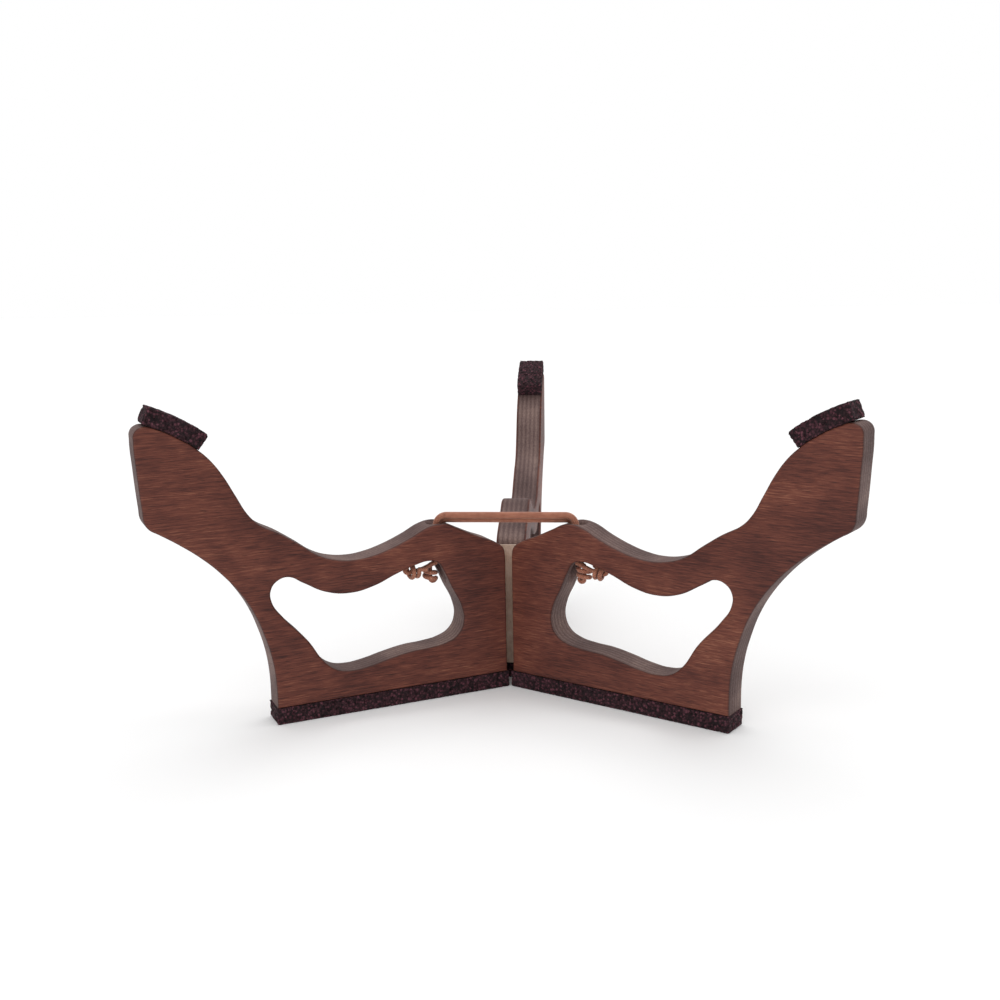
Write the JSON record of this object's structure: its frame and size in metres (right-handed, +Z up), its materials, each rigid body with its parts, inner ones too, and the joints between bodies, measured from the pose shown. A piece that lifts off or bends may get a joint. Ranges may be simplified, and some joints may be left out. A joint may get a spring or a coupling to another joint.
{
  "type": "handpan stand",
  "caption": "Folding low stand of upright plywood legs on a leather hinge, held open by elastic cord, with rubber pads that carry a round-bottomed instrument.",
  "frame": {"origin": "centre of the footprint of the whole stand, on the floor", "axes": "+Z up, +X to the right seen from the open front, +Y towards the back leg"},
  "size_m": [0.3764, 0.3265, 0.1806],
  "materials": {
    "plywood": "red-brown stain, satin",
    "rubber": "bound rubber crumb, matte",
    "hinge_leather": "undyed, matte",
    "cord": "braided sleeve over elastic"
  },
  "bodies": {
    "back_leg": {"back_leg_panel": "plywood", "back_foot_strip": "rubber", "back_rest_pad": "rubber", "hinge_strip": "hinge_leather", "upper_cord": "cord", "lower_cord": "cord"},
    "left_leg": {"left_leg_panel": "plywood", "left_foot_strip": "rubber", "left_rest_pad": "rubber", "left_lower_knot": "cord", "left_upper_knot": "cord"},
    "right_leg": {"right_leg_panel": "plywood", "right_foot_strip": "rubber", "right_rest_pad": "rubber", "right_lower_knot": "cord", "right_upper_knot": "cord"}
  },
  "joints": [
    {"name": "left_fold", "type": "hinge", "parent": "back_leg", "child": "left_leg", "pos_m": [-0.00969, -0.04402, 0], "axis": [0, 0, -1], "range_deg": [0, 120], "deforming": ["hinge_strip", "upper_cord", "lower_cord"]},
    {"name": "right_fold", "type": "hinge", "parent": "back_leg", "child": "right_leg", "pos_m": [0.00969, -0.04402, 0], "axis": [0, 0, 1], "range_deg": [0, 120], "deforming": ["hinge_strip", "upper_cord", "lower_cord"]}
  ]
}
